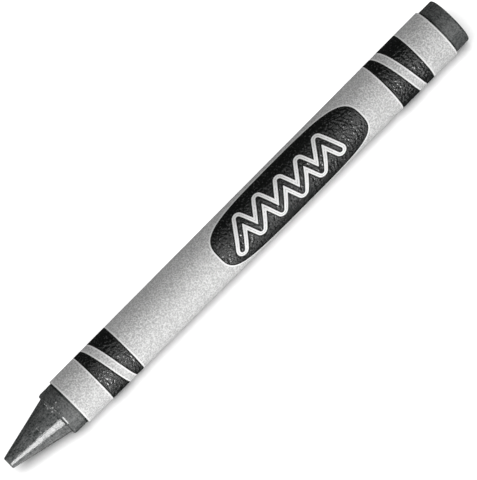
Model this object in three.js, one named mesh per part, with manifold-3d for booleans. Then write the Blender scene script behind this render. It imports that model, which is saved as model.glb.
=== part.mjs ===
// A wax crayon lying on its paper label. Millimetres, +Z up, +X from the tip to the butt.
// The origin is under the middle of the crayon, on the surface that it lies on.
//
// Every part is first built straight, round an axis along X. settle() then gives the whole crayon
// its slight taper and lays the underside of the label flat on z = 0.

import * as THREE from 'three';
import { mergeVertices } from 'three/addons/utils/BufferGeometryUtils.js';
import Module from 'manifold-3d';

// Wax stick. Distances along the axis are measured from the tip.
const LENGTH = 92.1;
const WAX_RADIUS = 3.86;
const TIP_RADIUS = 1.0;
const CONE_LENGTH = 9.97;
const CONE_BASE_RADIUS = 3.32;
const TIP_EDGE_ROUND = 0.18;
const CONE_FILLET = 0.22;
const SHOULDER_EDGE_ROUND = 0.2;
const BUTT_EDGE_ROUND = 0.4;
const ARC_STEPS = 4;

// Paper label: one sheet wound twice, on a film of paste.
const LABEL_FRONT = 12.62;
const LABEL_REAR = 89.23;
const PAPER_THICKNESS = 0.105;
const PASTE_THICKNESS = 0.0275;
const GAP = 0.005;
const TURN_THICKNESS = PAPER_THICKNESS + PASTE_THICKNESS + 2 * GAP;

// Flats round the crayon. One of them faces straight down, so the crayon lies still instead of
// rolling. The sheet starts at the seam angle and stops one flat short of two full turns.
const FACETS = 24;
const FACET_ANGLE = (2 * Math.PI) / FACETS;
const SEAM_ANGLE = -2.5 * FACET_ANGLE;
const SHEET_STEPS = 2 * FACETS - 1;

// Printed areas. Angles are measured from +Y towards +Z, so the panel faces up and to the front.
const INK_THICKNESS = 0.03;
const CUTTER_CLEARANCE = 0.2;
const CUTTER_OVERRUN = 0.5;
const FRONT_BAND = [17.58, 23.89];
const REAR_BAND = [77.92, 84.42];
const PANEL_MIDDLE = 57.6;
const PANEL_HALF_LENGTH = 14.77;
const PANEL_ANGLE = THREE.MathUtils.degToRad(127.5);
const PANEL_HALF_ANGLE = THREE.MathUtils.degToRad(68.4);
const PANEL_ROUNDNESS = 2.95;
const PANEL_POINTS = 48;
const CURVE_STEPS = 5;

// Scribble in the panel: a zigzag stroke with a rim of bare paper round it.
const SCRIBBLE_STROKES = 10;
const SCRIBBLE_PITCH = 2.05;
const SCRIBBLE_OFFSET = -0.9;
const SCRIBBLE_HEIGHT = 1.75;
const SCRIBBLE_SWAY = 0.16;
const SCRIBBLE_SWAY_STEP = 2.4;
const SCRIBBLE_LEAN = 0.35;
const STROKE_RADIUS = 0.4;
const RIM_RADIUS = 1.0;

// Taper: growth of the radius for each millimetre towards the butt. The waist is how much slimmer
// the middle of the label is than its ends, so that it touches the ground at both ends.
const TAPER = 0.00045;
const WAIST = 0.002;
const LABEL_RADIUS = WAX_RADIUS + 2 * TURN_THICKNESS;
const LABEL_FLAT_HEIGHT = LABEL_RADIUS * Math.cos(FACET_ANGLE / 2);

const wasm = await Module();
wasm.setup();

const waxMaterial = new THREE.MeshStandardMaterial({ color: 0x575b5a, roughness: 0.42, metalness: 0 });
const paperMaterial = new THREE.MeshStandardMaterial({ color: 0xc4c4c3, roughness: 0.85, metalness: 0 });
const pasteMaterial = new THREE.MeshStandardMaterial({ color: 0xd8d2c0, roughness: 0.6, metalness: 0 });
const inkMaterial = new THREE.MeshStandardMaterial({ color: 0x222424, roughness: 0.7, metalness: 0 });

// Moves distances from the tip to the part's own X, and applies the taper.
function settle(geometry) {
  const position = geometry.getAttribute('position');
  for (let i = 0; i < position.count; i += 1) {
    const fromTip = position.getX(i);
    const alongLabel = (fromTip - LABEL_FRONT) / (LABEL_REAR - LABEL_FRONT);
    const slimming = 4 * WAIST * alongLabel * (1 - alongLabel);
    const growth = 1 + TAPER * (fromTip - LABEL_FRONT) - slimming;
    position.setX(i, fromTip - LENGTH / 2);
    position.setY(i, position.getY(i) * growth);
    position.setZ(i, (position.getZ(i) + LABEL_FLAT_HEIGHT) * growth);
  }
  geometry.computeVertexNormals();
  return geometry;
}

function toSolid(geometry) {
  const bare = geometry.clone();
  bare.deleteAttribute('normal');
  bare.deleteAttribute('uv');
  const merged = mergeVertices(bare);
  return new wasm.Manifold(new wasm.Mesh({
    numProp: 3,
    vertProperties: new Float32Array(merged.getAttribute('position').array),
    triVerts: new Uint32Array(merged.getIndex().array),
  }));
}

function toGeometry(solid) {
  const mesh = solid.getMesh();
  const geometry = new THREE.BufferGeometry();
  geometry.setAttribute('position', new THREE.BufferAttribute(new Float32Array(mesh.vertProperties), 3));
  geometry.setIndex(new THREE.BufferAttribute(new Uint32Array(mesh.triVerts), 1));
  return geometry;
}

// Points of a circular arc in the lathe's plane, angles measured from the radial direction.
function arc(centreRadius, centreHeight, radius, startAngle, endAngle) {
  const points = [];
  for (let step = 0; step <= ARC_STEPS; step += 1) {
    const angle = THREE.MathUtils.lerp(startAngle, endAngle, step / ARC_STEPS);
    points.push(new THREE.Vector2(
      centreRadius + radius * Math.cos(angle),
      centreHeight + radius * Math.sin(angle),
    ));
  }
  return points;
}

function waxStick() {
  const slope = (CONE_BASE_RADIUS - TIP_RADIUS) / CONE_LENGTH;
  const lean = Math.atan(slope);
  const tipCentre = TIP_RADIUS + TIP_EDGE_ROUND * (slope - 1 / Math.cos(lean));
  const filletHeight = CONE_LENGTH - CONE_FILLET;
  const filletCentre = TIP_RADIUS + filletHeight * slope + CONE_FILLET / Math.cos(lean);
  const profile = [
    new THREE.Vector2(0, 0),
    ...arc(tipCentre, TIP_EDGE_ROUND, TIP_EDGE_ROUND, -Math.PI / 2, -lean),
    ...arc(filletCentre, filletHeight, CONE_FILLET, Math.PI - lean, Math.PI / 2),
    ...arc(WAX_RADIUS - SHOULDER_EDGE_ROUND, CONE_LENGTH + SHOULDER_EDGE_ROUND,
      SHOULDER_EDGE_ROUND, -Math.PI / 2, 0),
    ...arc(WAX_RADIUS - BUTT_EDGE_ROUND, LENGTH - BUTT_EDGE_ROUND, BUTT_EDGE_ROUND, 0, Math.PI / 2),
    new THREE.Vector2(0, LENGTH),
  ];
  const geometry = new THREE.LatheGeometry(profile, FACETS, FACET_ANGLE / 2);
  geometry.applyMatrix4(new THREE.Matrix4().makeBasis(
    new THREE.Vector3(0, 0, 1),
    new THREE.Vector3(1, 0, 0),
    new THREE.Vector3(0, 1, 0),
  ));
  return geometry;
}

// A point of the wound sheet, this many flats on from its starting edge. The first turn ends one
// flat early, so that the sheet rises over its own starting edge along that flat.
function sheetPoint(step, height) {
  const turnsBelow = step < FACETS ? 0 : 1;
  const radius = WAX_RADIUS + TURN_THICKNESS * turnsBelow + height;
  const angle = SEAM_ANGLE + step * FACET_ANGLE;
  return new THREE.Vector2(radius * Math.cos(angle), radius * Math.sin(angle));
}

// A strip that follows the wound sheet between two steps, two heights and two places on the axis.
// Its last flat may be cut short.
function woundStrip(firstStep, lastStep, low, high, front, rear) {
  const outer = [];
  const inner = [];
  for (let step = firstStep; step < lastStep; step += 1) {
    outer.push(sheetPoint(step, high));
    inner.push(sheetPoint(step, low));
  }
  outer.push(sheetPoint(lastStep, high));
  inner.push(sheetPoint(lastStep, low));
  const outline = new THREE.Shape([...outer, ...inner.reverse()]);
  const geometry = new THREE.ExtrudeGeometry(outline, {
    depth: rear - front,
    bevelEnabled: false,
  });
  geometry.translate(0, 0, front);
  geometry.applyMatrix4(new THREE.Matrix4().makeBasis(
    new THREE.Vector3(0, 1, 0),
    new THREE.Vector3(0, 0, 1),
    new THREE.Vector3(1, 0, 0),
  ));
  return geometry;
}

// The outer turn of the label between two places on the axis, to this depth under its face.
function inkLayer(front, rear) {
  return toSolid(woundStrip(FACETS, SHEET_STEPS, TURN_THICKNESS - INK_THICKNESS, TURN_THICKNESS,
    front, rear));
}

// A slightly deeper layer that stands clear of the label's face and of its outer edge, for cutting.
function recessLayer(front, rear) {
  return toSolid(woundStrip(FACETS, SHEET_STEPS + CUTTER_OVERRUN, TURN_THICKNESS - INK_THICKNESS - GAP,
    TURN_THICKNESS + CUTTER_CLEARANCE, front, rear));
}

// A prism that stands on the axis and points out through the middle of the panel.
function panelPrism(shape) {
  const geometry = new THREE.ExtrudeGeometry(shape, {
    depth: 2 * LABEL_RADIUS,
    bevelEnabled: false,
    curveSegments: CURVE_STEPS,
  });
  const outward = new THREE.Vector3(0, Math.cos(PANEL_ANGLE), Math.sin(PANEL_ANGLE));
  const along = new THREE.Vector3(1, 0, 0);
  const across = new THREE.Vector3().crossVectors(outward, along);
  geometry.applyMatrix4(new THREE.Matrix4().makeBasis(along, across, outward));
  geometry.translate(PANEL_MIDDLE, 0, 0);
  return toSolid(geometry);
}

// A rounded oval that wraps round the label, seen straight on.
function panelOval(margin) {
  const points = [];
  for (let i = 0; i < PANEL_POINTS; i += 1) {
    const turn = (2 * Math.PI * i) / PANEL_POINTS;
    const along = Math.sign(Math.cos(turn)) * Math.abs(Math.cos(turn)) ** (2 / PANEL_ROUNDNESS);
    const across = Math.sign(Math.sin(turn)) * Math.abs(Math.sin(turn)) ** (2 / PANEL_ROUNDNESS);
    const halfAngle = PANEL_HALF_ANGLE + margin / LABEL_RADIUS;
    points.push(new THREE.Vector2(
      (PANEL_HALF_LENGTH + margin) * along,
      LABEL_RADIUS * Math.sin(halfAngle * across),
    ));
  }
  return panelPrism(new THREE.Shape(points));
}

// Turning points of the scribble, with heights that vary a little like a quick pencil stroke.
function scribblePoint(index) {
  const side = index % 2 === 0 ? -1 : 1;
  const middle = SCRIBBLE_OFFSET + (index - SCRIBBLE_STROKES / 2) * SCRIBBLE_PITCH;
  const along = middle + side * SCRIBBLE_LEAN;
  const height = side * SCRIBBLE_HEIGHT * (1 + SCRIBBLE_SWAY * Math.sin(SCRIBBLE_SWAY_STEP * index));
  return new THREE.Vector2(along, LABEL_RADIUS * Math.sin(height / LABEL_RADIUS));
}

function strokeShape(start, end, radius) {
  const heading = Math.atan2(end.y - start.y, end.x - start.x);
  const shape = new THREE.Shape();
  shape.absarc(end.x, end.y, radius, heading - Math.PI / 2, heading + Math.PI / 2, false);
  shape.absarc(start.x, start.y, radius, heading + Math.PI / 2, heading + (3 * Math.PI) / 2, false);
  return shape;
}

function scribble(radius) {
  let solid = panelPrism(strokeShape(scribblePoint(0), scribblePoint(1), radius));
  for (let index = 1; index < SCRIBBLE_STROKES; index += 1) {
    const stroke = strokeShape(scribblePoint(index), scribblePoint(index + 1), radius);
    solid = solid.add(panelPrism(stroke));
  }
  return solid;
}

function bandInk([front, rear]) {
  return toGeometry(inkLayer(front, rear));
}

function panelInk() {
  const oval = inkLayer(LABEL_FRONT, LABEL_REAR).intersect(panelOval(0));
  return toGeometry(oval.subtract(scribble(RIM_RADIUS)));
}

function scribbleInk() {
  return toGeometry(inkLayer(LABEL_FRONT, LABEL_REAR).intersect(scribble(STROKE_RADIUS)));
}

// Each printed area lies in a shallow recess, so that the ink is flush with the paper.
function paperLabel() {
  let sheet = toSolid(woundStrip(0, SHEET_STEPS, TURN_THICKNESS - PAPER_THICKNESS, TURN_THICKNESS,
    LABEL_FRONT, LABEL_REAR));
  for (const [front, rear] of [FRONT_BAND, REAR_BAND]) {
    sheet = sheet.subtract(recessLayer(front - GAP, rear + GAP));
  }
  const panelRecess = recessLayer(LABEL_FRONT, LABEL_REAR).intersect(panelOval(GAP));
  return toGeometry(sheet.subtract(panelRecess));
}

function pasteFilm() {
  return woundStrip(0, SHEET_STEPS, GAP, GAP + PASTE_THICKNESS, LABEL_FRONT, LABEL_REAR);
}

function namedMesh(name, geometry, material) {
  const mesh = new THREE.Mesh(settle(geometry), material);
  mesh.name = name;
  return mesh;
}

const crayon = new THREE.Group();
crayon.add(namedMesh('wax_stick', waxStick(), waxMaterial));
crayon.add(namedMesh('paste_film', pasteFilm(), pasteMaterial));
crayon.add(namedMesh('paper_label', paperLabel(), paperMaterial));
crayon.add(namedMesh('front_band_ink', bandInk(FRONT_BAND), inkMaterial));
crayon.add(namedMesh('rear_band_ink', bandInk(REAR_BAND), inkMaterial));
crayon.add(namedMesh('panel_ink', panelInk(), inkMaterial));
crayon.add(namedMesh('scribble_ink', scribbleInk(), inkMaterial));

export default crayon;
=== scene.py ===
"""A grey wax crayon with a printed paper label, lying on a pale floor.

Every piece is built round a straight axis first, from the distance along the crayon, the angle
round it and the height above the wax. settle() then gives it the crayon's taper and lays the
label on the floor, as the CAD part does. Lengths are metres, angles are radians.
"""

import math

import bmesh
import bpy
import numpy as np
from mathutils import Matrix, Vector


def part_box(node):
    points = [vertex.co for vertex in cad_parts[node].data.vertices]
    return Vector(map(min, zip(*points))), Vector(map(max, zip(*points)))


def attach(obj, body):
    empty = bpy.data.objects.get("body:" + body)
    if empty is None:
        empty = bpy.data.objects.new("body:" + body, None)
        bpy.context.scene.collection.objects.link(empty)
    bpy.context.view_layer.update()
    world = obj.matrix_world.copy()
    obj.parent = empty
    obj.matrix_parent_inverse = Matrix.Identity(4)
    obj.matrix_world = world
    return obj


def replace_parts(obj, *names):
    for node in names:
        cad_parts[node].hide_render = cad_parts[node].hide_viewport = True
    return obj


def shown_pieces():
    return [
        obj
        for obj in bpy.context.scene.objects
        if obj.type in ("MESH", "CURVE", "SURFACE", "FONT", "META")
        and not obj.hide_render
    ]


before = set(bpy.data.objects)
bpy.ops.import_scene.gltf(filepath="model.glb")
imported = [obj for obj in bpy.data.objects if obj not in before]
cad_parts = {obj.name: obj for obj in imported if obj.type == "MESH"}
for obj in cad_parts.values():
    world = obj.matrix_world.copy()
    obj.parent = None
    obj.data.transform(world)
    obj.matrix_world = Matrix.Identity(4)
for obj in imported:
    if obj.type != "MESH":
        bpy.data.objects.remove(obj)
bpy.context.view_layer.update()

MM = 0.001
TAU = 2 * math.pi

# Places along the crayon, from the CAD nodes.
wax_low, wax_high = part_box("wax_stick")
label_low, label_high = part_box("paper_label")
front_band_low, front_band_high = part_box("front_band_ink")
rear_band_low, rear_band_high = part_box("rear_band_ink")
panel_low, panel_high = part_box("panel_ink")
scribble_low, scribble_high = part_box("scribble_ink")
TIP_X, BUTT_X = wax_low.x, wax_high.x
LABEL_FRONT, LABEL_REAR = label_low.x, label_high.x
FRONT_BAND = (front_band_low.x, front_band_high.x)
REAR_BAND = (rear_band_low.x, rear_band_high.x)

# The CAD part's 24 flats, taper and layers, which the round surfaces here follow. The taper is the
# growth of the radius for each metre towards the butt.
CAD_FLATS = 24
TAPER = 0.45
LABEL_REAR_RADIUS = label_high.z / 2 / math.cos(math.pi / CAD_FLATS)
LABEL_RADIUS = LABEL_REAR_RADIUS / (1 + TAPER * (LABEL_REAR - LABEL_FRONT))
PAPER = 0.105 * MM
PASTE = 0.0275 * MM
GAP = 0.005 * MM
TURN = PAPER + PASTE + 2 * GAP
WAX_RADIUS = LABEL_RADIUS - 2 * TURN

# The wound sheet. Angles round the crayon run from +Y towards +Z. The sheet's own angle counts on
# from its starting edge, through nearly two turns, and it climbs onto itself after the first.
SEAM_ANGLE = math.radians(-37.5)
CLIMB = math.radians(15)
SHEET_END = 2 * TAU - CLIMB
PRINT_START = TAU - CLIMB

# Printed areas. STROKE is half the width of the scribble's dark core, and RIM is how far bare paper
# reaches from the middle of the stroke. KEYLINE is a light rim beside the ink, INK_EDGE a dark one in it.
PANEL_ANGLE = math.radians(127.5)
PANEL_MIDDLE = (panel_low.x + panel_high.x) / 2
PANEL_HALF_LENGTH = (panel_high.x - panel_low.x) / 2
PANEL_HALF_WIDTH = math.radians(68.4) * LABEL_RADIUS
PANEL_ROUNDNESS = 2.95
STROKE = 0.4 * MM
RIM = 1.0 * MM
SCRIBBLE_STROKES = 10
SCRIBBLE_PITCH = 2.05 * MM
SCRIBBLE_LEAN = 0.35 * MM
SCRIBBLE_HEIGHT = 1.75 * MM
SCRIBBLE_SWAY = 0.16
SCRIBBLE_SWAY_STEP = 2.4
SCRIBBLE_START = scribble_low.x + STROKE + SCRIBBLE_LEAN
STRIPE_WIDTH = 1.45 * MM
STRIPE_SHARE = 0.49
STRIPE_CLIMB = 0.75
KEYLINE = 0.25 * MM
INK_EDGE = 0.2 * MM

# Camera: far off with a long lens, above the printed side and a little beyond the tip. The crayon's
# slope is its angle in the picture, and its side is the angle round the crayon that faces the camera.
CAMERA_ELEVATION = math.radians(60)
CAMERA_SIDE = math.pi - CAMERA_ELEVATION
CAMERA_DISTANCE = 780.3 * MM
CAMERA_X = -59.12 * MM
CAMERA_TURN = math.radians(4.4)
CAMERA_AIM_BELOW = 0.79 * MM
CRAYON_SLOPE = math.radians(45.085)
LENS = 400
SENSOR_WIDTH = 36
CLIP_START, CLIP_END = 0.05, 20

# Softboxes, all at one distance. Each row is a name, the part of its direction that lies along the
# crayon, its angle round the crayon from the camera's side down to the near side, half of its length
# along the crayon and half of its width round it, as degrees seen from the crayon, and its radiance.
LIGHT_DISTANCE = 0.45
SOFTBOXES = (
    ("key", -0.48, 47, 5.4, 18, 20.0),          # bright streak on the cone
    ("side_strip", -0.05, 38, 8, 34, 1.85),     # main light on the label
    ("rear_sheen", 0.24, 32, 6, 30, 1.5),       # gloss towards the butt
    ("bounce", 0.0, 84, 6, 30, 1.5),            # glow of the floor on the near side
    ("tip_bounce", -0.40, 95, 4, 28, 1.9),      # the same on the cone
    ("tip_glow", -0.29, 132, 5, 18, 0.9),       # the same on the cone's lower edge
    ("top_strip", -0.05, -15, 16, 24, 0.75),    # soft light on the upper side
    ("back_strip", 0.0, -120, 14, 45, 0.6),     # fill on the far side
    ("rear_fill", 0.95, -75, 20, 20, 1.5),      # fill on the butt's face
    ("tip_fill", -0.82, -75, 20, 20, 2.1),      # fill on the tip's face
)
AMBIENT = 0.02
SUN_STRENGTH = 5.05
SUN_SPREAD = math.radians(60)
SUN_TILT = (math.radians(14), math.radians(-6), 0)
FLOOR_HALF = 3.0
FLOOR_DROP = 0.01 * MM
FLOOR_GREY = 0.86
FLOOR_ROUGHNESS = 0.9


# ---------------------------------------------------------------- numbers and surfaces

SHARP_ANGLE = math.radians(35)
NOISE_CELLS = 32


def smooth(t):
    """0 to 1, easing in and out."""
    t = np.clip(t, 0, 1)
    return t * t * (3 - 2 * t)


def lattice_noise(points, size, seed):
    """Smooth noise from -1 to 1 at points (..., 3), with features of about the given size."""
    table = np.random.default_rng(seed).uniform(-1, 1, (NOISE_CELLS, NOISE_CELLS, NOISE_CELLS))
    p = np.asarray(points) / size
    base = np.floor(p).astype(int)
    f = smooth(p - base)
    total = 0.0
    for corner in np.ndindex(2, 2, 2):
        index = (base + corner) % NOISE_CELLS
        weight = np.prod(np.where(corner, f, 1 - f), axis=-1)
        total = total + weight * table[index[..., 0], index[..., 1], index[..., 2]]
    return total


def straight(x, angle, radius):
    """Points round the straight axis."""
    x, angle, radius = np.broadcast_arrays(x, angle, radius)
    return np.stack([x, np.cos(angle) * radius, np.sin(angle) * radius], axis=-1)


def settle(points):
    """Applies the taper and lays the label on the floor."""
    growth = 1 + TAPER * (points[..., 0] - LABEL_FRONT)
    y = points[..., 1] * growth
    z = (points[..., 2] + LABEL_RADIUS) * growth
    return np.stack([points[..., 0], y, z], axis=-1)


def new_piece(name, vertices, faces, material):
    """A smooth-shaded mesh object that rides with the crayon."""
    mesh = bpy.data.meshes.new(name)
    mesh.from_pydata(np.asarray(vertices).tolist(), [], faces)
    mesh.validate()
    mesh.materials.append(material)
    piece = bpy.data.objects.new(name, mesh)
    bpy.context.scene.collection.objects.link(piece)
    mesh.shade_smooth()
    mesh.set_sharp_from_angle(angle=SHARP_ANGLE)
    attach(piece, "root")
    return piece


def grid_faces(rows, columns, wrap):
    """Quads of a grid whose columns may close on themselves."""
    faces = []
    for r in range(rows - 1):
        for c in range(columns if wrap else columns - 1):
            d = (c + 1) % columns
            a = r * columns
            faces.append((a + c, a + columns + c, a + columns + d, a + d))
    return faces


# ---------------------------------------------------------------- materials

class Nodes:
    """A material's node tree, with short ways to add the nodes used here."""

    def __init__(self, name):
        self.material = bpy.data.materials.new(name)
        self.material.use_nodes = True
        self.tree = self.material.node_tree
        self.shader = self.tree.nodes["Principled BSDF"]
        self.place = self.add("ShaderNodeTexCoord").outputs["Object"]

    def add(self, kind, **settings):
        node = self.tree.nodes.new(kind)
        for key, value in settings.items():
            setattr(node, key, value)
        return node

    def link(self, output, socket):
        self.tree.links.new(output, socket)

    def stretched(self, factors, turn=(0, 0, 0)):
        """Places scaled by the factors, so that a pattern stretches where a factor is small."""
        node = self.add("ShaderNodeMapping")
        node.inputs["Scale"].default_value = factors
        node.inputs["Rotation"].default_value = turn
        self.link(self.place, node.inputs["Vector"])
        return node.outputs["Vector"]

    def noise(self, size, detail, rough, place=None, kind="FBM"):
        """Noise with features of about the given size."""
        node = self.add("ShaderNodeTexNoise", noise_type=kind)
        node.inputs["Scale"].default_value = 1 / size
        node.inputs["Detail"].default_value = detail
        node.inputs["Roughness"].default_value = rough
        self.link(place or self.place, node.inputs["Vector"])
        return node.outputs["Fac"]

    def ramp(self, value, low, high, start=0.0, end=1.0):
        """value from low..high becomes start..end."""
        node = self.add("ShaderNodeMapRange")
        node.inputs["From Min"].default_value = low
        node.inputs["From Max"].default_value = high
        node.inputs["To Min"].default_value = start
        node.inputs["To Max"].default_value = end
        self.link(value, node.inputs["Value"])
        return node.outputs["Result"]

    def maths(self, operation, a, b):
        node = self.add("ShaderNodeMath", operation=operation)
        for socket, value in zip(node.inputs, (a, b)):
            if isinstance(value, (int, float)):
                socket.default_value = value
            else:
                self.link(value, socket)
        return node.outputs["Value"]

    def blend(self, amount, first, second):
        """Mix of two colours, each a tuple or a socket."""
        node = self.add("ShaderNodeMix", data_type="RGBA")
        self.link(amount, node.inputs["Factor"])
        colours = [s for s in node.inputs if s.type == "RGBA"]
        for socket, value in zip(colours, (first, second)):
            if isinstance(value, tuple):
                socket.default_value = (*value, 1)
            else:
                self.link(value, socket)
        return [s for s in node.outputs if s.type == "RGBA"][0]

    def along(self):
        """Distance along the crayon."""
        split = self.add("ShaderNodeSeparateXYZ")
        self.link(self.place, split.inputs["Vector"])
        return split.outputs["X"]

    def finish(self, tone, roughness, specular, relief, height):
        """The surface: a colour, a roughness as a number or a socket, its gloss and its relief."""
        self.link(tone, self.shader.inputs["Base Color"])
        if isinstance(roughness, float):
            self.shader.inputs["Roughness"].default_value = roughness
        else:
            self.link(roughness, self.shader.inputs["Roughness"])
        self.shader.inputs["Specular IOR Level"].default_value = specular
        bump = self.add("ShaderNodeBump")
        bump.inputs["Distance"].default_value = height
        self.link(relief, bump.inputs["Height"])
        self.link(bump.outputs["Normal"], self.shader.inputs["Normal"])
        return self.material


# Colours, from the lightest to the darkest place of each material.
PAPER_LIGHT, PAPER_SHADE = (0.99, 0.99, 0.985), (0.54, 0.54, 0.538)
BARE_LIGHT, BARE_SHADE = (0.99, 0.99, 0.985), (0.94, 0.94, 0.935)
INK_WORN, INK_DEEP = (0.09, 0.092, 0.091), (0.007, 0.008, 0.0075)
BEAD_LIGHT = (0.014, 0.0145, 0.014)
WAX_LIGHT, WAX_SHADE = (0.185, 0.190, 0.189), (0.022, 0.026, 0.025)
CRUMB_LIGHT, CRUMB_SHADE = (0.52, 0.525, 0.52), (0.30, 0.305, 0.303)
PASTE_LIGHT, PASTE_SHADE = (0.58, 0.55, 0.47), (0.42, 0.40, 0.34)

# Sizes of what their textures show.
PAPER_CLOUD = 1.4 * MM
GRAIN = 0.24 * MM
FIBRE = 0.45 * MM
PULP = 0.42 * MM
INK_SPECK = 0.3 * MM
WAX_CLOUD = 1.5 * MM
WAX_BLOOM = 0.26 * MM
WAX_SCUFF = 0.4 * MM
WAX_STREAK = 0.34 * MM
CRUMB_BLOOM = 0.2 * MM
PASTE_GRAIN = 0.3 * MM
# Painted shade on the wax beside the label's ends: full within the first distance, gone by the second.
PAINTED_SHADE_LINE = (0.24 * MM, 0.4 * MM)
STREAKS_FADE = 0.3 * MM

# Heights of their fine relief.
LABEL_RELIEF = 0.1 * MM
BARE_RELIEF = 0.01 * MM
INK_RELIEF = 0.16 * MM
BEAD_RELIEF = 0.02 * MM
WAX_RELIEF = 0.009 * MM
CRUMB_RELIEF = 0.01 * MM
PASTE_RELIEF = 0.01 * MM

# Turns of the threads' directions, in radians, and the scales that draw threads and streaks out.
THREAD_TURNS = (0.5, -0.7, 2.0)
THREAD_SCALE = 0.25
STREAK_SCALE = 0.06


def fibres(nodes):
    """Thin crossing threads, 1 on a fibre and 0 between them."""
    threads = None
    for turn in THREAD_TURNS:
        place = nodes.stretched((THREAD_SCALE, 1, 1), (turn, turn * 0.6, turn))
        ridges = nodes.noise(FIBRE, 2, 0.5, place, "RIDGED_MULTIFRACTAL")
        line = nodes.ramp(ridges, 0.72, 1.15)
        threads = line if threads is None else nodes.maths("MAXIMUM", threads, line)
    return threads


def weighted(nodes, *parts):
    """Sum of (value, weight) pairs."""
    total = None
    for value, weight in parts:
        part = nodes.maths("MULTIPLY", value, weight)
        total = part if total is None else nodes.maths("ADD", total, part)
    return total


def paper_material(name, light, shade, relief_height):
    """Uncoated paper: cloudy pulp, fine grain and crossing fibres under a slight polish."""
    nodes = Nodes(name)
    cloud = nodes.ramp(nodes.noise(PAPER_CLOUD, 3, 0.6), 0.3, 0.7)
    grain = nodes.ramp(nodes.noise(GRAIN, 1, 0.5), 0.34, 0.66)
    threads = fibres(nodes)
    mix = weighted(nodes, (cloud, 0.10), (grain, 0.56), (threads, 0.34))
    tone = nodes.blend(nodes.ramp(mix, 0.12, 0.80), shade, light)
    roughness = nodes.ramp(grain, 0, 1, 0.42, 0.56)
    pulp = nodes.ramp(nodes.noise(PULP, 1, 0.5), 0.3, 0.7)
    relief = weighted(nodes, (grain, 0.3), (pulp, 0.35), (threads, 0.35))
    return nodes.finish(tone, roughness, 0.4, relief, relief_height)


def ink_material():
    """Dark ink on fibrous paper. Fibres stand up through it, worn lighter and glinting."""
    nodes = Nodes("ink_print")
    pulp = nodes.ramp(nodes.noise(PULP, 1, 0.5), 0.3, 0.7)
    threads = fibres(nodes)
    speck = nodes.ramp(nodes.noise(INK_SPECK, 1, 0.5), 0.58, 0.68)
    worn = weighted(nodes, (speck, 0.6), (threads, 0.4))
    tone = nodes.blend(worn, INK_DEEP, INK_WORN)
    roughness = nodes.ramp(pulp, 0, 1, 0.12, 0.26)
    relief = weighted(nodes, (pulp, 0.5), (threads, 0.5))
    return nodes.finish(tone, roughness, 0.85, relief, INK_RELIEF)


def ink_edge_material():
    """The bead of ink squeezed out along a printed edge: deep, thick and dull."""
    nodes = Nodes("ink_edge")
    grain = nodes.noise(GRAIN, 3, 0.65)
    tone = nodes.blend(grain, INK_DEEP, BEAD_LIGHT)
    return nodes.finish(tone, 0.75, 0.12, grain, BEAD_RELIEF)


def painted_label_edge_shade(nodes):
    """0 in a thin line of painted shade on the wax at either end of the label, standing in for the shadow
    under the paper's edge, else 1.
    """
    x = nodes.along()
    clear = None
    for end in (LABEL_FRONT, LABEL_REAR):
        away = nodes.maths("ABSOLUTE", nodes.maths("SUBTRACT", x, end), 0)
        line = nodes.ramp(away, *PAINTED_SHADE_LINE)
        clear = line if clear is None else nodes.maths("MULTIPLY", clear, line)
    return clear


def mould_streaks(nodes):
    """Lengthwise marks that the mould leaves on the cone, from -1 to 1, and 0 behind it."""
    cone_end = TIP_X + CONE_LENGTH
    on_cone = nodes.ramp(nodes.along(), cone_end - STREAKS_FADE, cone_end, 1.0, 0.0)
    streaks = nodes.noise(WAX_STREAK, 2, 0.6, nodes.stretched((STREAK_SCALE, 1, 1)))
    return nodes.maths("MULTIPLY", nodes.ramp(streaks, 0.36, 0.64, -1.0, 1.0), on_cone)


def wax_material():
    """Moulded wax: cloudy pigment, fine bloom, scuffs round the axis, streaks along the cone, and a line
    of painted shade beside either end of the label.
    """
    nodes = Nodes("grey_wax")
    cloud = nodes.ramp(nodes.noise(WAX_CLOUD, 3, 0.5), 0.3, 0.7)
    bloom = nodes.ramp(nodes.noise(WAX_BLOOM, 1, 0.6), 0.34, 0.66)
    round_axis = nodes.stretched((1.6, 0.35, 0.35))
    scuffs = nodes.ramp(nodes.noise(WAX_SCUFF, 2, 0.6, round_axis), 0.3, 0.7)
    streaks = mould_streaks(nodes)
    mix = weighted(nodes, (cloud, 0.12), (bloom, 0.6), (scuffs, 0.28), (streaks, 0.24))
    # Beside the label's ends the wax darkens to WAX_SHADE: painted shade for the shadow under the paper's
    # edge.
    tone = nodes.blend(nodes.maths("MULTIPLY", mix, painted_label_edge_shade(nodes)), WAX_SHADE, WAX_LIGHT)
    roughness = nodes.ramp(bloom, 0, 1, 0.15, 0.20)
    relief = weighted(nodes, (bloom, 0.6), (scuffs, 0.4), (streaks, 0.5))
    return nodes.finish(tone, roughness, 0.5, relief, WAX_RELIEF)


def crumb_material():
    """Broken wax, lighter and duller than the moulded skin."""
    nodes = Nodes("wax_crumb_grey")
    bloom = nodes.noise(CRUMB_BLOOM, 3, 0.6)
    tone = nodes.blend(bloom, CRUMB_SHADE, CRUMB_LIGHT)
    return nodes.finish(tone, 0.45, 0.5, bloom, CRUMB_RELIEF)


def paste_material():
    """Dry starch paste, which shows only as a hairline at the label's ends."""
    nodes = Nodes("dry_paste")
    grain = nodes.noise(PASTE_GRAIN, 3, 0.6)
    tone = nodes.blend(grain, PASTE_SHADE, PASTE_LIGHT)
    return nodes.finish(tone, 0.6, 0.5, grain, PASTE_RELIEF)


# ---------------------------------------------------------------- wax stick

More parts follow.
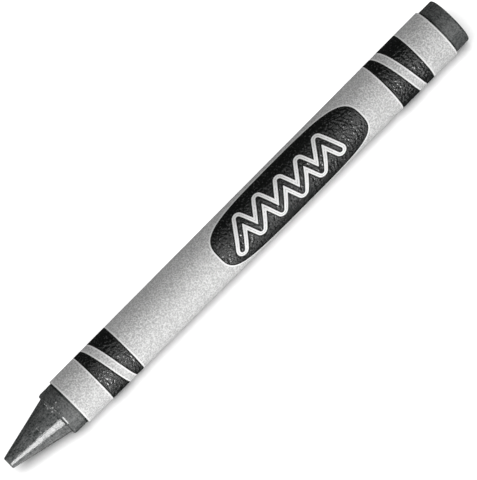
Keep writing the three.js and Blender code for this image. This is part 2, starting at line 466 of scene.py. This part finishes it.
TIP_RADIUS = 1.0 * MM
CONE_LENGTH = 9.97 * MM
CONE_BASE_RADIUS = 3.32 * MM
TIP_EDGE_ROUND = 0.18 * MM
CONE_FILLET = 0.22 * MM
SHOULDER_EDGE_ROUND = 0.2 * MM
SHOULDER_LEAD = 0.28 * MM
BUTT_EDGE_ROUND = 0.3 * MM
UNDER_LABEL = 0.4 * MM
POLE_RADIUS = 0.05 * MM
ARC_STEPS = 8
PROFILE_SPACING = 0.12 * MM
WAX_COLUMNS = 240


def arc(centre_radius, centre_x, radius, start, end):
    """(radius, distance from the tip) of points on a round stretch of the profile."""
    angles = np.linspace(start, end, ARC_STEPS)
    return [(centre_radius + radius * math.cos(a), centre_x + radius * math.sin(a)) for a in angles]


def filled(profile):
    """The same profile with its long straight stretches divided."""
    points = [profile[0]]
    for end in profile[1:]:
        start = points[-1]
        steps = max(1, math.ceil(math.dist(start, end) / PROFILE_SPACING))
        step = np.subtract(end, start)
        points += [tuple(np.add(start, step * i / steps)) for i in range(1, steps + 1)]
    return points


def wax_profile():
    """(radius, distance from the tip), from beside the middle of the tip's face over the cone and
    the shoulder to beside the middle of the butt's face."""
    slope = (CONE_BASE_RADIUS - TIP_RADIUS) / CONE_LENGTH
    lean = math.atan(slope)
    length = BUTT_X - TIP_X
    tip_centre = TIP_RADIUS + TIP_EDGE_ROUND * (slope - 1 / math.cos(lean))
    fillet_x = CONE_LENGTH - CONE_FILLET
    fillet_centre = TIP_RADIUS + fillet_x * slope + CONE_FILLET / math.cos(lean)
    shoulder_x = CONE_LENGTH + SHOULDER_EDGE_ROUND
    shoulder_centre = WAX_RADIUS - SHOULDER_LEAD * slope - SHOULDER_EDGE_ROUND * math.cos(lean)
    lead_end = shoulder_x - SHOULDER_EDGE_ROUND * math.sin(lean) + SHOULDER_LEAD
    front = [(POLE_RADIUS, 0.0)]
    front += arc(tip_centre, TIP_EDGE_ROUND, TIP_EDGE_ROUND, -math.pi / 2, -lean)
    front += arc(fillet_centre, fillet_x, CONE_FILLET, math.pi - lean, math.pi / 2)
    front += arc(shoulder_centre, shoulder_x, SHOULDER_EDGE_ROUND, -math.pi / 2, -lean)
    front.append((WAX_RADIUS, lead_end))
    front.append((WAX_RADIUS, LABEL_FRONT - TIP_X + UNDER_LABEL))
    rear = [(WAX_RADIUS, LABEL_REAR - TIP_X - UNDER_LABEL)]
    rear += arc(WAX_RADIUS - BUTT_EDGE_ROUND, length - BUTT_EDGE_ROUND, BUTT_EDGE_ROUND, 0, math.pi / 2)
    rear.append((POLE_RADIUS, length))
    return filled(front) + filled(rear)


def wax_relief(points):
    """Small unevenness of the moulded wax, in metres along the radius."""
    slow = lattice_noise(points, 2.4 * MM, seed=11) * 0.012 * MM
    fine = lattice_noise(points, 0.7 * MM, seed=12) * 0.003 * MM
    return slow + fine


def wax_stick(material):
    """The stick as one closed skin. Under the label it keeps clear of the paste, and its relief
    fades out towards the middle of either end."""
    profile = np.array(wax_profile())
    angles = np.arange(WAX_COLUMNS) * TAU / WAX_COLUMNS
    radius, along = profile[:, 0:1], profile[:, 1:2] + TIP_X
    base = straight(along, angles[None, :], radius)
    under_label = (along > LABEL_FRONT) & (along < LABEL_REAR)
    relief = np.where(under_label, -GAP, wax_relief(base))
    relief = relief * np.minimum(radius / TIP_RADIUS, 1)
    body = straight(along, angles[None, :], radius + relief)
    rows = len(profile)
    ends = straight(np.array([TIP_X, BUTT_X]), 0.0, 0.0)
    vertices = np.concatenate([settle(body).reshape(-1, 3), settle(ends)])
    faces = [f[::-1] for f in grid_faces(rows, WAX_COLUMNS, True)]
    tip, butt = rows * WAX_COLUMNS, rows * WAX_COLUMNS + 1
    last = (rows - 1) * WAX_COLUMNS
    for c in range(WAX_COLUMNS):
        d = (c + 1) % WAX_COLUMNS
        faces.append((tip, d, c))
        faces.append((butt, last + c, last + d))
    piece = new_piece("wax_stick_body", vertices, faces, material)
    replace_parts(piece, "wax_stick")


# Crumbs of wax, where they cling: (millimetres from the tip, degrees round the crayon, how many).
CRUMB_PLACES = ((9.9, 88, 8), (10.2, 112, 5), (11.0, 103, 2), (6.5, 108, 3), (10.0, 250, 5),
                (3.2, 300, 2))
CRUMB_SPREAD = 0.13
CRUMB_TURN_SPREAD = 11
CRUMB_SIZE = (0.06, 0.15)
CRUMB_STRETCH = (0.6, 1.3)
CRUMB_UNEVENNESS = 0.35
CRUMB_LUMP = 0.9


def crumb(random, centre, size):
    """An uneven lump: a ball that is stretched, and pushed in and out by noise."""
    ball = bmesh.new()
    bmesh.ops.create_icosphere(ball, subdivisions=2, radius=1)
    stretch = random.uniform(*CRUMB_STRETCH, 3)
    vertices = []
    for v in ball.verts:
        lumps = float(lattice_noise(np.array(v.co) + centre / size, CRUMB_LUMP, seed=31))
        bump = 1 + CRUMB_UNEVENNESS * lumps
        vertices.append(np.array(v.co) * stretch * bump * size + centre)
    faces = [tuple(v.index for v in f.verts) for f in ball.faces]
    ball.free()
    return vertices, faces


def wax_crumbs(material):
    """All the crumbs as one piece, each with its middle on the wax's surface."""
    random = np.random.default_rng(5)
    vertices, faces = [], []
    for along, turn, count in CRUMB_PLACES:
        for _ in range(count):
            x = (along + random.normal(0, CRUMB_SPREAD)) * MM
            angle = math.radians(turn + random.normal(0, CRUMB_TURN_SPREAD))
            if x < CONE_LENGTH:
                radius = TIP_RADIUS + x / CONE_LENGTH * (CONE_BASE_RADIUS - TIP_RADIUS)
            else:
                radius = WAX_RADIUS
            size = random.uniform(*CRUMB_SIZE) * MM
            centre = settle(straight(TIP_X + x, angle, radius))
            more, triangles = crumb(random, centre, size)
            faces += [tuple(i + len(vertices) for i in f) for f in triangles]
            vertices += more
    new_piece("wax_crumbs", vertices, faces, material)


# ---------------------------------------------------------------- wound sheet

SHEET_COLUMNS = 340
SHEET_STEP = 0.8 * MM
SHEET_END_STEP = 0.15 * MM
PASTE_COLUMNS = 200
PASTE_ROWS = 24
EDGE_LIFT = 0.03 * MM
EDGE_LIFT_ANGLE = math.radians(14)


def turns_below(sheet):
    """How many turns of the sheet lie below this angle of it: 0, 1 or the climb between them."""
    return smooth((sheet - TAU + CLIMB) / CLIMB)


def sheet_relief(x, sheet):
    """Gentle unevenness of the wound paper. Its loose outer edge stands off a little."""
    place = straight(x, SEAM_ANGLE + sheet, LABEL_RADIUS)
    outer = smooth((sheet - TAU) / CLIMB)
    slow = lattice_noise(place, 4.5 * MM, seed=21) * 0.014 * MM
    fine = lattice_noise(place, 1.5 * MM, seed=22) * 0.004 * MM
    lift = smooth((sheet - SHEET_END + EDGE_LIFT_ANGLE) / EDGE_LIFT_ANGLE) * EDGE_LIFT
    return outer * (slow + fine + lift)


def on_sheet(x, sheet, height):
    """A point of the wound sheet at this height above the bottom of its paste."""
    x, sheet, height = np.broadcast_arrays(x, sheet, height)
    radius = WAX_RADIUS + TURN * turns_below(sheet) + height + sheet_relief(x, sheet)
    return settle(straight(x, SEAM_ANGLE + sheet, radius))


def wound_solid(name, low, high, columns, xs, material):
    """The whole sheet, or its paste, as a closed solid between two heights."""
    sheet = np.linspace(0, SHEET_END, columns)
    xs = np.asarray(xs)[:, None]
    outer = on_sheet(xs, sheet[None, :], high)
    inner = on_sheet(xs, sheet[None, ::-1], low)
    loop = np.concatenate([outer, inner], axis=1)
    rows, count = loop.shape[:2]
    faces = [f[::-1] for f in grid_faces(rows, count, True)]
    last = (rows - 1) * count
    for c in range(columns - 1):
        a, b = count - 1 - c, count - 2 - c
        faces.append((c, a, b, c + 1))
        faces.append((last + c, last + c + 1, last + b, last + a))
    return new_piece(name, loop.reshape(-1, 3), faces, material)


def paper_label(material):
    ends = [LABEL_REAR - SHEET_END_STEP, LABEL_REAR]
    middle = np.arange(LABEL_FRONT + SHEET_END_STEP, LABEL_REAR - SHEET_END_STEP, SHEET_STEP)
    xs = np.concatenate([[LABEL_FRONT], middle, ends])
    piece = wound_solid("label_sheet", TURN - PAPER, TURN, SHEET_COLUMNS, xs, material)
    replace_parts(piece, "paper_label")


def paste_film(material):
    xs = np.linspace(LABEL_FRONT, LABEL_REAR, PASTE_ROWS)
    piece = wound_solid("label_paste", GAP, GAP + PASTE, PASTE_COLUMNS, xs, material)
    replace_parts(piece, "paste_film")


# ---------------------------------------------------------------- print

RIM_TOP = 0.004 * MM
INK_TOP = 0.008 * MM
PRINT_DEPTH = 0.012 * MM
STRIP_COLUMNS = 480
STRIP_ROWS = 5
STRIP_SHEET = (PRINT_START + 0.004, SHEET_END - 0.0005)    # just inside the turn that shows
GRID_STEP = 0.11 * MM
PANEL_MARGIN = 0.4 * MM


def panel_grid(half_size):
    """Even steps from a little before one side of the panel to a little past the other."""
    reach = half_size + PANEL_MARGIN
    return np.arange(-reach, reach + GRID_STEP, GRID_STEP)


class Print:
    """Flat areas of the unrolled sheet, in (distance along the crayon, sheet angle)."""

    def __init__(self):
        self.points = []
        self.faces = []

    def add(self, points, faces):
        start = len(self.points)
        self.points += [tuple(p) for p in points]
        self.faces += [tuple(start + i for i in f) for f in faces]

    def strip(self, front, rear, rows=2):
        """The area between two lines, each a function of the sheet angle."""
        sheet = np.linspace(*STRIP_SHEET, STRIP_COLUMNS)
        share = np.linspace(0, 1, rows)[:, None]
        x = front(sheet) * (1 - share) + rear(sheet) * share
        both = np.stack(np.broadcast_arrays(x, sheet), axis=-1).reshape(-1, 2)
        self.add(both, grid_faces(rows, STRIP_COLUMNS, False))

    def region(self, inside):
        """The area round the panel where inside(u, v) is below 0, cut cell by cell. u and v are
        metres from the middle of the panel, along the crayon and round it."""
        u, v = panel_grid(PANEL_HALF_LENGTH), panel_grid(PANEL_HALF_WIDTH)
        field = inside(*np.meshgrid(u, v, indexing="ij"))
        points, faces, known = [], [], {}

        def keep(key, point):
            if key not in known:
                known[key] = len(points)
                points.append(point)
            return known[key]

        def crossing(a, b):
            share = field[a] / (field[a] - field[b])
            cut_u = u[a[0]] + share * (u[b[0]] - u[a[0]])
            cut_v = v[a[1]] + share * (v[b[1]] - v[a[1]])
            return keep((min(a, b), max(a, b)), (cut_u, cut_v))

        under = field < 0
        touched = under[:-1, :-1] | under[1:, :-1] | under[1:, 1:] | under[:-1, 1:]
        for i, j in np.argwhere(touched):
            ring = [(i, j), (i + 1, j), (i + 1, j + 1), (i, j + 1)]
            face = []
            for a, b in zip(ring, ring[1:] + ring[:1]):
                if under[a]:
                    face.append(keep(a, (u[a[0]], v[a[1]])))
                if under[a] != under[b]:
                    face.append(crossing(a, b))
            if len(face) > 2:
                faces.append(face)
        angle = TAU + PANEL_ANGLE - SEAM_ANGLE
        self.add([(PANEL_MIDDLE + p[0], angle - p[1] / LABEL_RADIUS) for p in points], faces)

    def solid(self, name, top, material, slot):
        """Thin closed solid of the areas, from just under the paper's face to top above it."""
        flat = np.array(self.points)
        upper = on_sheet(flat[:, 0], flat[:, 1], TURN + top)
        lower = on_sheet(flat[:, 0], flat[:, 1], TURN - PRINT_DEPTH)
        count = len(flat)
        edges = {(a, b) for f in self.faces for a, b in zip(f, f[1:] + f[:1])}
        outline = [(a, b) for f in self.faces for a, b in zip(f, f[1:] + f[:1]) if (b, a) not in edges]
        sides = [(a, a + count, b + count, b) for a, b in outline]
        base = [tuple(i + count for i in f[::-1]) for f in self.faces]
        vertices = np.concatenate([upper, lower])
        return new_piece(name, vertices, self.faces + base + sides, material)


def panel_distance(u, v):
    """Distance outside the panel's oval, negative inside."""
    n = PANEL_ROUNDNESS
    a = np.maximum(np.abs(u) / PANEL_HALF_LENGTH, 1e-6)
    b = np.maximum(np.abs(v) / PANEL_HALF_WIDTH, 1e-6)
    whole = (a ** n + b ** n) ** (1 / n)
    slope_u = (a / whole) ** (n - 1) / PANEL_HALF_LENGTH
    slope_v = (b / whole) ** (n - 1) / PANEL_HALF_WIDTH
    return (whole - 1) / np.hypot(slope_u, slope_v)


def scribble_points():
    """Turning points of the scribble, from the middle of the panel."""
    points = []
    for i in range(SCRIBBLE_STROKES + 1):
        side = -1 if i % 2 == 0 else 1
        along = SCRIBBLE_START + i * SCRIBBLE_PITCH + side * SCRIBBLE_LEAN - PANEL_MIDDLE
        sway = 1 + SCRIBBLE_SWAY * math.sin(SCRIBBLE_SWAY_STEP * i)
        points.append((along, side * SCRIBBLE_HEIGHT * sway))
    return np.array(points)


def scribble_distance(u, v):
    """Distance from the middle of the scribble's stroke."""
    points = scribble_points()
    nearest = np.full(np.shape(u), np.inf)
    for (u0, v0), (u1, v1) in zip(points[:-1], points[1:]):
        du, dv = u1 - u0, v1 - v0
        share = np.clip(((u - u0) * du + (v - v0) * dv) / (du * du + dv * dv), 0, 1)
        nearest = np.minimum(nearest, np.hypot(u - u0 - share * du, v - v0 - share * dv))
    return nearest


def stripe_middle(band):
    """The slanted stripe's line. Where it faces the camera it is near the middle of the band, and
    in one turn it climbs through three quarters of the band."""
    facing = TAU + CAMERA_SIDE - SEAM_ANGLE
    width = band[1] - band[0]
    return lambda sheet: band[0] + width * (STRIPE_SHARE + STRIPE_CLIMB * (sheet - facing) / TAU)


def level(x):
    """A line straight round the crayon."""
    return lambda sheet: np.full_like(sheet, x)


def beside(line, offset):
    """The same line, moved along the crayon."""
    return lambda sheet: line(sheet) + offset


def band_print(name, node, band, material, rims, edges):
    """A dark band parted by its stripe. Its edges and the paper rims go into the shared prints."""
    line = stripe_middle(band)
    half = STRIPE_WIDTH / 2
    ink = Print()
    areas = ((level(band[0]), beside(line, -half)), (beside(line, half), level(band[1])))
    for front, rear in areas:
        ink.strip(beside(front, INK_EDGE), beside(rear, -INK_EDGE), STRIP_ROWS)
        edges.strip(front, beside(front, INK_EDGE))
        edges.strip(beside(rear, -INK_EDGE), rear)
        rims.strip(beside(front, -KEYLINE), front)
        rims.strip(rear, beside(rear, KEYLINE))
    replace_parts(ink.solid(name, INK_TOP, material, "ink"), node)


def between(distance, low, high):
    """Below 0 where the distance is between low and high."""
    return np.maximum(low - distance, distance - high)


def panel_print(material, rims, edges):
    """The oval and the core of the scribble. Between them the outline is bare paper."""
    panel, core = Print(), Print()
    panel.region(lambda u, v: np.maximum(panel_distance(u, v) + INK_EDGE,
                                         RIM + INK_EDGE - scribble_distance(u, v)))
    core.region(lambda u, v: scribble_distance(u, v) - STROKE + INK_EDGE)
    for low, high in ((RIM, RIM + INK_EDGE), (STROKE - INK_EDGE, STROKE)):
        edges.region(lambda u, v: between(scribble_distance(u, v), low, high))
    edges.region(lambda u, v: between(panel_distance(u, v), -INK_EDGE, 0))
    rims.region(lambda u, v: between(panel_distance(u, v), 0, KEYLINE))
    for low, high in ((STROKE, STROKE + KEYLINE), (RIM - KEYLINE, RIM)):
        rims.region(lambda u, v: between(scribble_distance(u, v), low, high))
    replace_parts(panel.solid("panel_print", INK_TOP, material, "ink"), "panel_ink")
    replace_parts(core.solid("scribble_print", INK_TOP, material, "ink"), "scribble_ink")


# ---------------------------------------------------------------- light and camera

def camera_axes():
    """Unit vectors from the crayon to the camera, and across the crayon towards the near side."""
    towards = Vector((0, -math.cos(CAMERA_ELEVATION), math.sin(CAMERA_ELEVATION)))
    below = Vector((0, -math.sin(CAMERA_ELEVATION), -math.cos(CAMERA_ELEVATION)))
    return towards, below


def axis_height(x):
    """Height of the crayon's axis above the floor."""
    return LABEL_RADIUS * (1 + TAPER * (x - LABEL_FRONT))


def add_camera():
    """Looks square at the crayon from the side, turned a little along it and rolled to its slope."""
    towards, below = camera_axes()
    place = Vector((CAMERA_X, 0, axis_height(CAMERA_X))) + towards * CAMERA_DISTANCE
    aim_x = CAMERA_X + CAMERA_DISTANCE * math.tan(CAMERA_TURN)
    aim = Vector((aim_x, 0, axis_height(aim_x))) + below * CAMERA_AIM_BELOW
    forward = (aim - place).normalized()
    along = Vector((1, 0, 0))
    along = (along - along.dot(forward) * forward).normalized()
    across = forward.cross(along)
    right = math.cos(CRAYON_SLOPE) * along + math.sin(CRAYON_SLOPE) * across
    up = math.sin(CRAYON_SLOPE) * along - math.cos(CRAYON_SLOPE) * across
    data = bpy.data.cameras.new("camera")
    data.lens = LENS
    data.sensor_width = SENSOR_WIDTH
    data.clip_start, data.clip_end = CLIP_START, CLIP_END
    camera = bpy.data.objects.new("camera", data)
    axes = Matrix((right, up, -forward)).transposed().to_4x4()
    camera.matrix_world = Matrix.Translation(place) @ axes
    bpy.context.scene.collection.objects.link(camera)
    bpy.context.scene.camera = camera


def softbox(name, along, aside, half_length, half_width, radiance, lit):
    """A rectangular light aimed at the crayon, which lights only the pieces in lit. The numbers are
    a row of SOFTBOXES."""
    towards, below = camera_axes()
    aside = math.radians(aside)
    level_part = math.sqrt(1 - along * along)
    direction = Vector((along, 0, 0))
    direction += level_part * (math.cos(aside) * towards + math.sin(aside) * below)
    sideways = math.cos(aside) * below - math.sin(aside) * towards
    data = bpy.data.lights.new(name, "AREA")
    data.shape = "RECTANGLE"
    data.size = 2 * LIGHT_DISTANCE * math.tan(math.radians(half_width))
    data.size_y = 2 * LIGHT_DISTANCE * math.tan(math.radians(half_length))
    data.energy = radiance * math.pi * data.size * data.size_y
    light = bpy.data.objects.new(name, data)
    axes = Matrix((sideways, direction.cross(sideways), direction)).transposed().to_4x4()
    light.matrix_world = Matrix.Translation(direction * LIGHT_DISTANCE) @ axes
    light.visible_camera = False
    light.light_linking.receiver_collection = lit
    light.light_linking.blocker_collection = lit
    bpy.context.scene.collection.objects.link(light)
    return light


def add_world():
    """Dim, even light all round, in front of a white backdrop that only the camera sees."""
    world = bpy.data.worlds.new("studio")
    bpy.context.scene.world = world
    world.use_nodes = True
    tree = world.node_tree
    background = tree.nodes["Background"]
    background.inputs["Color"].default_value = (1, 1, 1, 1)
    background.inputs["Strength"].default_value = AMBIENT
    backdrop = tree.nodes.new("ShaderNodeBackground")
    backdrop.inputs["Color"].default_value = (1, 1, 1, 1)
    path = tree.nodes.new("ShaderNodeLightPath")
    mix = tree.nodes.new("ShaderNodeMixShader")
    tree.links.new(path.outputs["Is Camera Ray"], mix.inputs["Fac"])
    tree.links.new(background.outputs["Background"], mix.inputs[1])
    tree.links.new(backdrop.outputs["Background"], mix.inputs[2])
    tree.links.new(mix.outputs["Shader"], tree.nodes["World Output"].inputs["Surface"])


def add_floor(lit):
    """A plain pale floor just under the crayon. Its glow on the crayon comes from softboxes, so the
    crayon's own reflections leave it out."""
    mesh = bpy.data.meshes.new("floor")
    corners = [(-1, -1), (1, -1), (1, 1), (-1, 1)]
    mesh.from_pydata([(x * FLOOR_HALF, y * FLOOR_HALF, 0) for x, y in corners], [], [(0, 1, 2, 3)])
    floor = bpy.data.objects.new("floor", mesh)
    floor.location.z = -FLOOR_DROP
    nodes = Nodes("pale_floor")
    nodes.shader.inputs["Base Color"].default_value = (FLOOR_GREY, FLOOR_GREY, FLOOR_GREY, 1)
    nodes.shader.inputs["Roughness"].default_value = FLOOR_ROUGHNESS
    mesh.materials.append(nodes.material)
    bpy.context.scene.collection.objects.link(floor)
    lit.objects.link(floor)
    floor.visible_diffuse = False
    floor.visible_glossy = False


def add_lights(crayon_lit, floor_lit):
    """Softboxes for the crayon, and one wide soft sun for the floor and the shadow on it."""
    boxes = {name: softbox(name, *numbers, crayon_lit) for name, *numbers in SOFTBOXES}
    boxes["rear_sheen"].visible_diffuse = False
    boxes["back_strip"].visible_glossy = False
    data = bpy.data.lights.new("floor_sun", "SUN")
    data.energy = SUN_STRENGTH
    data.angle = SUN_SPREAD
    sun = bpy.data.objects.new("floor_sun", data)
    sun.rotation_euler = SUN_TILT
    sun.light_linking.receiver_collection = floor_lit
    bpy.context.scene.collection.objects.link(sun)


# ---------------------------------------------------------------- the scene

def build_crayon():
    ink = ink_material()
    label = paper_material("label_paper", PAPER_LIGHT, PAPER_SHADE, LABEL_RELIEF)
    bare = paper_material("bare_paper", BARE_LIGHT, BARE_SHADE, BARE_RELIEF)
    wax_stick(wax_material())
    wax_crumbs(crumb_material())
    paste_film(paste_material())
    paper_label(label)
    rims, edges = Print(), Print()
    band_print("front_band_print", "front_band_ink", FRONT_BAND, ink, rims, edges)
    band_print("rear_band_print", "rear_band_ink", REAR_BAND, ink, rims, edges)
    panel_print(ink, rims, edges)
    rims.strip(level(LABEL_FRONT), level(LABEL_FRONT + KEYLINE))
    rims.strip(level(LABEL_REAR - KEYLINE), level(LABEL_REAR))
    rims.solid("white_rims", RIM_TOP, bare, "paper")
    edges.solid("ink_edges", INK_TOP, ink_edge_material(), "ink")


build_crayon()
crayon_lit = bpy.data.collections.new("lit_crayon")
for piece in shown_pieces():
    crayon_lit.objects.link(piece)
floor_lit = bpy.data.collections.new("lit_floor")
add_floor(floor_lit)
add_world()
add_lights(crayon_lit, floor_lit)
add_camera()
bpy.context.scene.view_settings.view_transform = "Standard"
